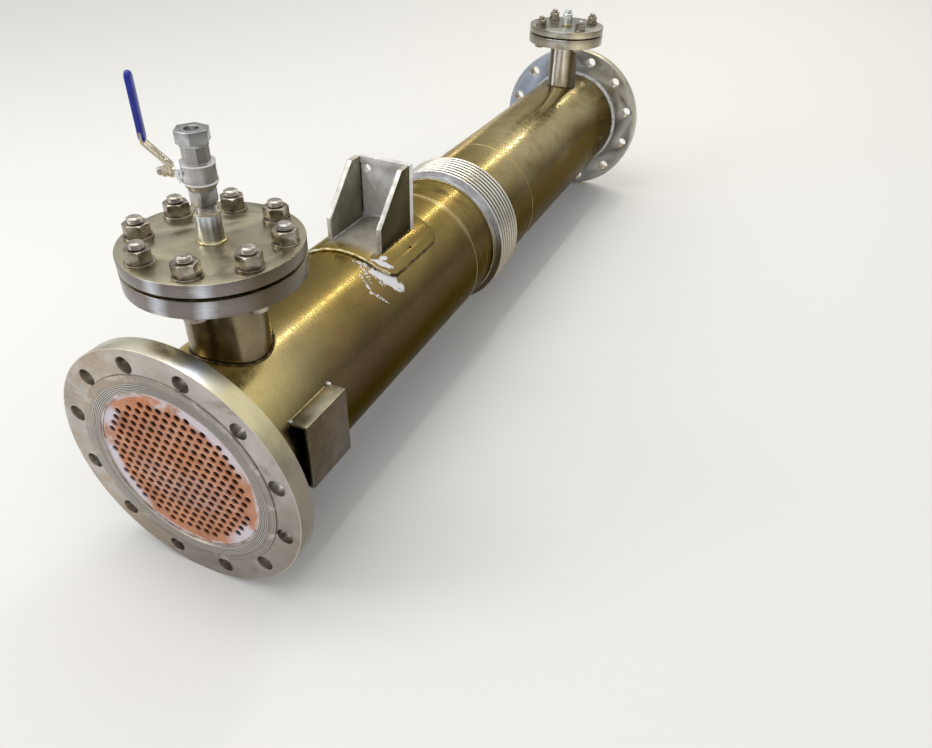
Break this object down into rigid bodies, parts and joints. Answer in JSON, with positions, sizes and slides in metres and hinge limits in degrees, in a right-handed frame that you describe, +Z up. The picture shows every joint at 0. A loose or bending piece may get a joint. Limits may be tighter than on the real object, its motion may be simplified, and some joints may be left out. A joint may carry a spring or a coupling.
{
  "type": "shell and tube oil cooler",
  "caption": "Horizontal shell-and-tube oil cooler with a bellows in its shell, two blanked top nozzles, a lug, a side bracket and a small test valve.",
  "frame": {"origin": "on the floor under the shell's axis, midway between the two end faces", "axes": "+Y along the shell from the front end, with the test valve, to the rear end; +Z up; +X to the right seen from the front end"},
  "size_m": [0.405, 1.778, 0.7068],
  "materials": {
    "shell_stainless": "brushed, warm and slightly heat-tinted",
    "flange_stainless": "turned and dull",
    "nozzle_stainless": "turned",
    "bellows_stainless": "bright, formed sheet",
    "rusty_tube_sheet": "rusted with pale residue at its edge",
    "gasket_rubber": "matt black",
    "bracket_stainless": "dull, pickled plate",
    "fitting_stainless": "bright turned and cast",
    "plated_steel": "bright zinc plate",
    "lever_steel": "pressed sheet",
    "blue_sleeve": "blue dipped vinyl"
  },
  "bodies": {
    "cooler": {"front_flange": "flange_stainless", "rear_flange": "flange_stainless", "tube_bundle": "rusty_tube_sheet", "front_barrel": "shell_stainless", "front_spool": "shell_stainless", "expansion_bellows": "bellows_stainless", "rear_spool": "shell_stainless", "rear_barrel": "shell_stainless", "front_nozzle_neck": "shell_stainless", "front_nozzle_flange": "nozzle_stainless", "front_gasket": "gasket_rubber", "front_blank": "nozzle_stainless", "rear_nozzle_neck": "shell_stainless", "rear_nozzle_flange": "nozzle_stainless", "rear_gasket": "gasket_rubber", "rear_blank": "nozzle_stainless", "rear_vent_socket": "fitting_stainless", "rear_vent_plug": "fitting_stainless", "lug_pad": "shell_stainless", "lug_back_plate": "bracket_stainless", "lug_left_gusset": "bracket_stainless", "lug_right_gusset": "bracket_stainless", "side_bracket": "bracket_stainless", "test_socket": "fitting_stainless", "test_nipple": "fitting_stainless", "test_valve": "fitting_stainless", "hose_adapter": "plated_steel"},
    "lever": {"valve_lever": "lever_steel", "lever_grip": "blue_sleeve", "lever_nut": "lever_steel"}
  },
  "joints": [
    {"name": "lever_turn", "type": "hinge", "parent": "cooler", "child": "lever", "pos_m": [0, -0.739, 0.5883], "axis": [-0.8746, -0.4848, 0], "range_deg": [0, 90]}
  ]
}
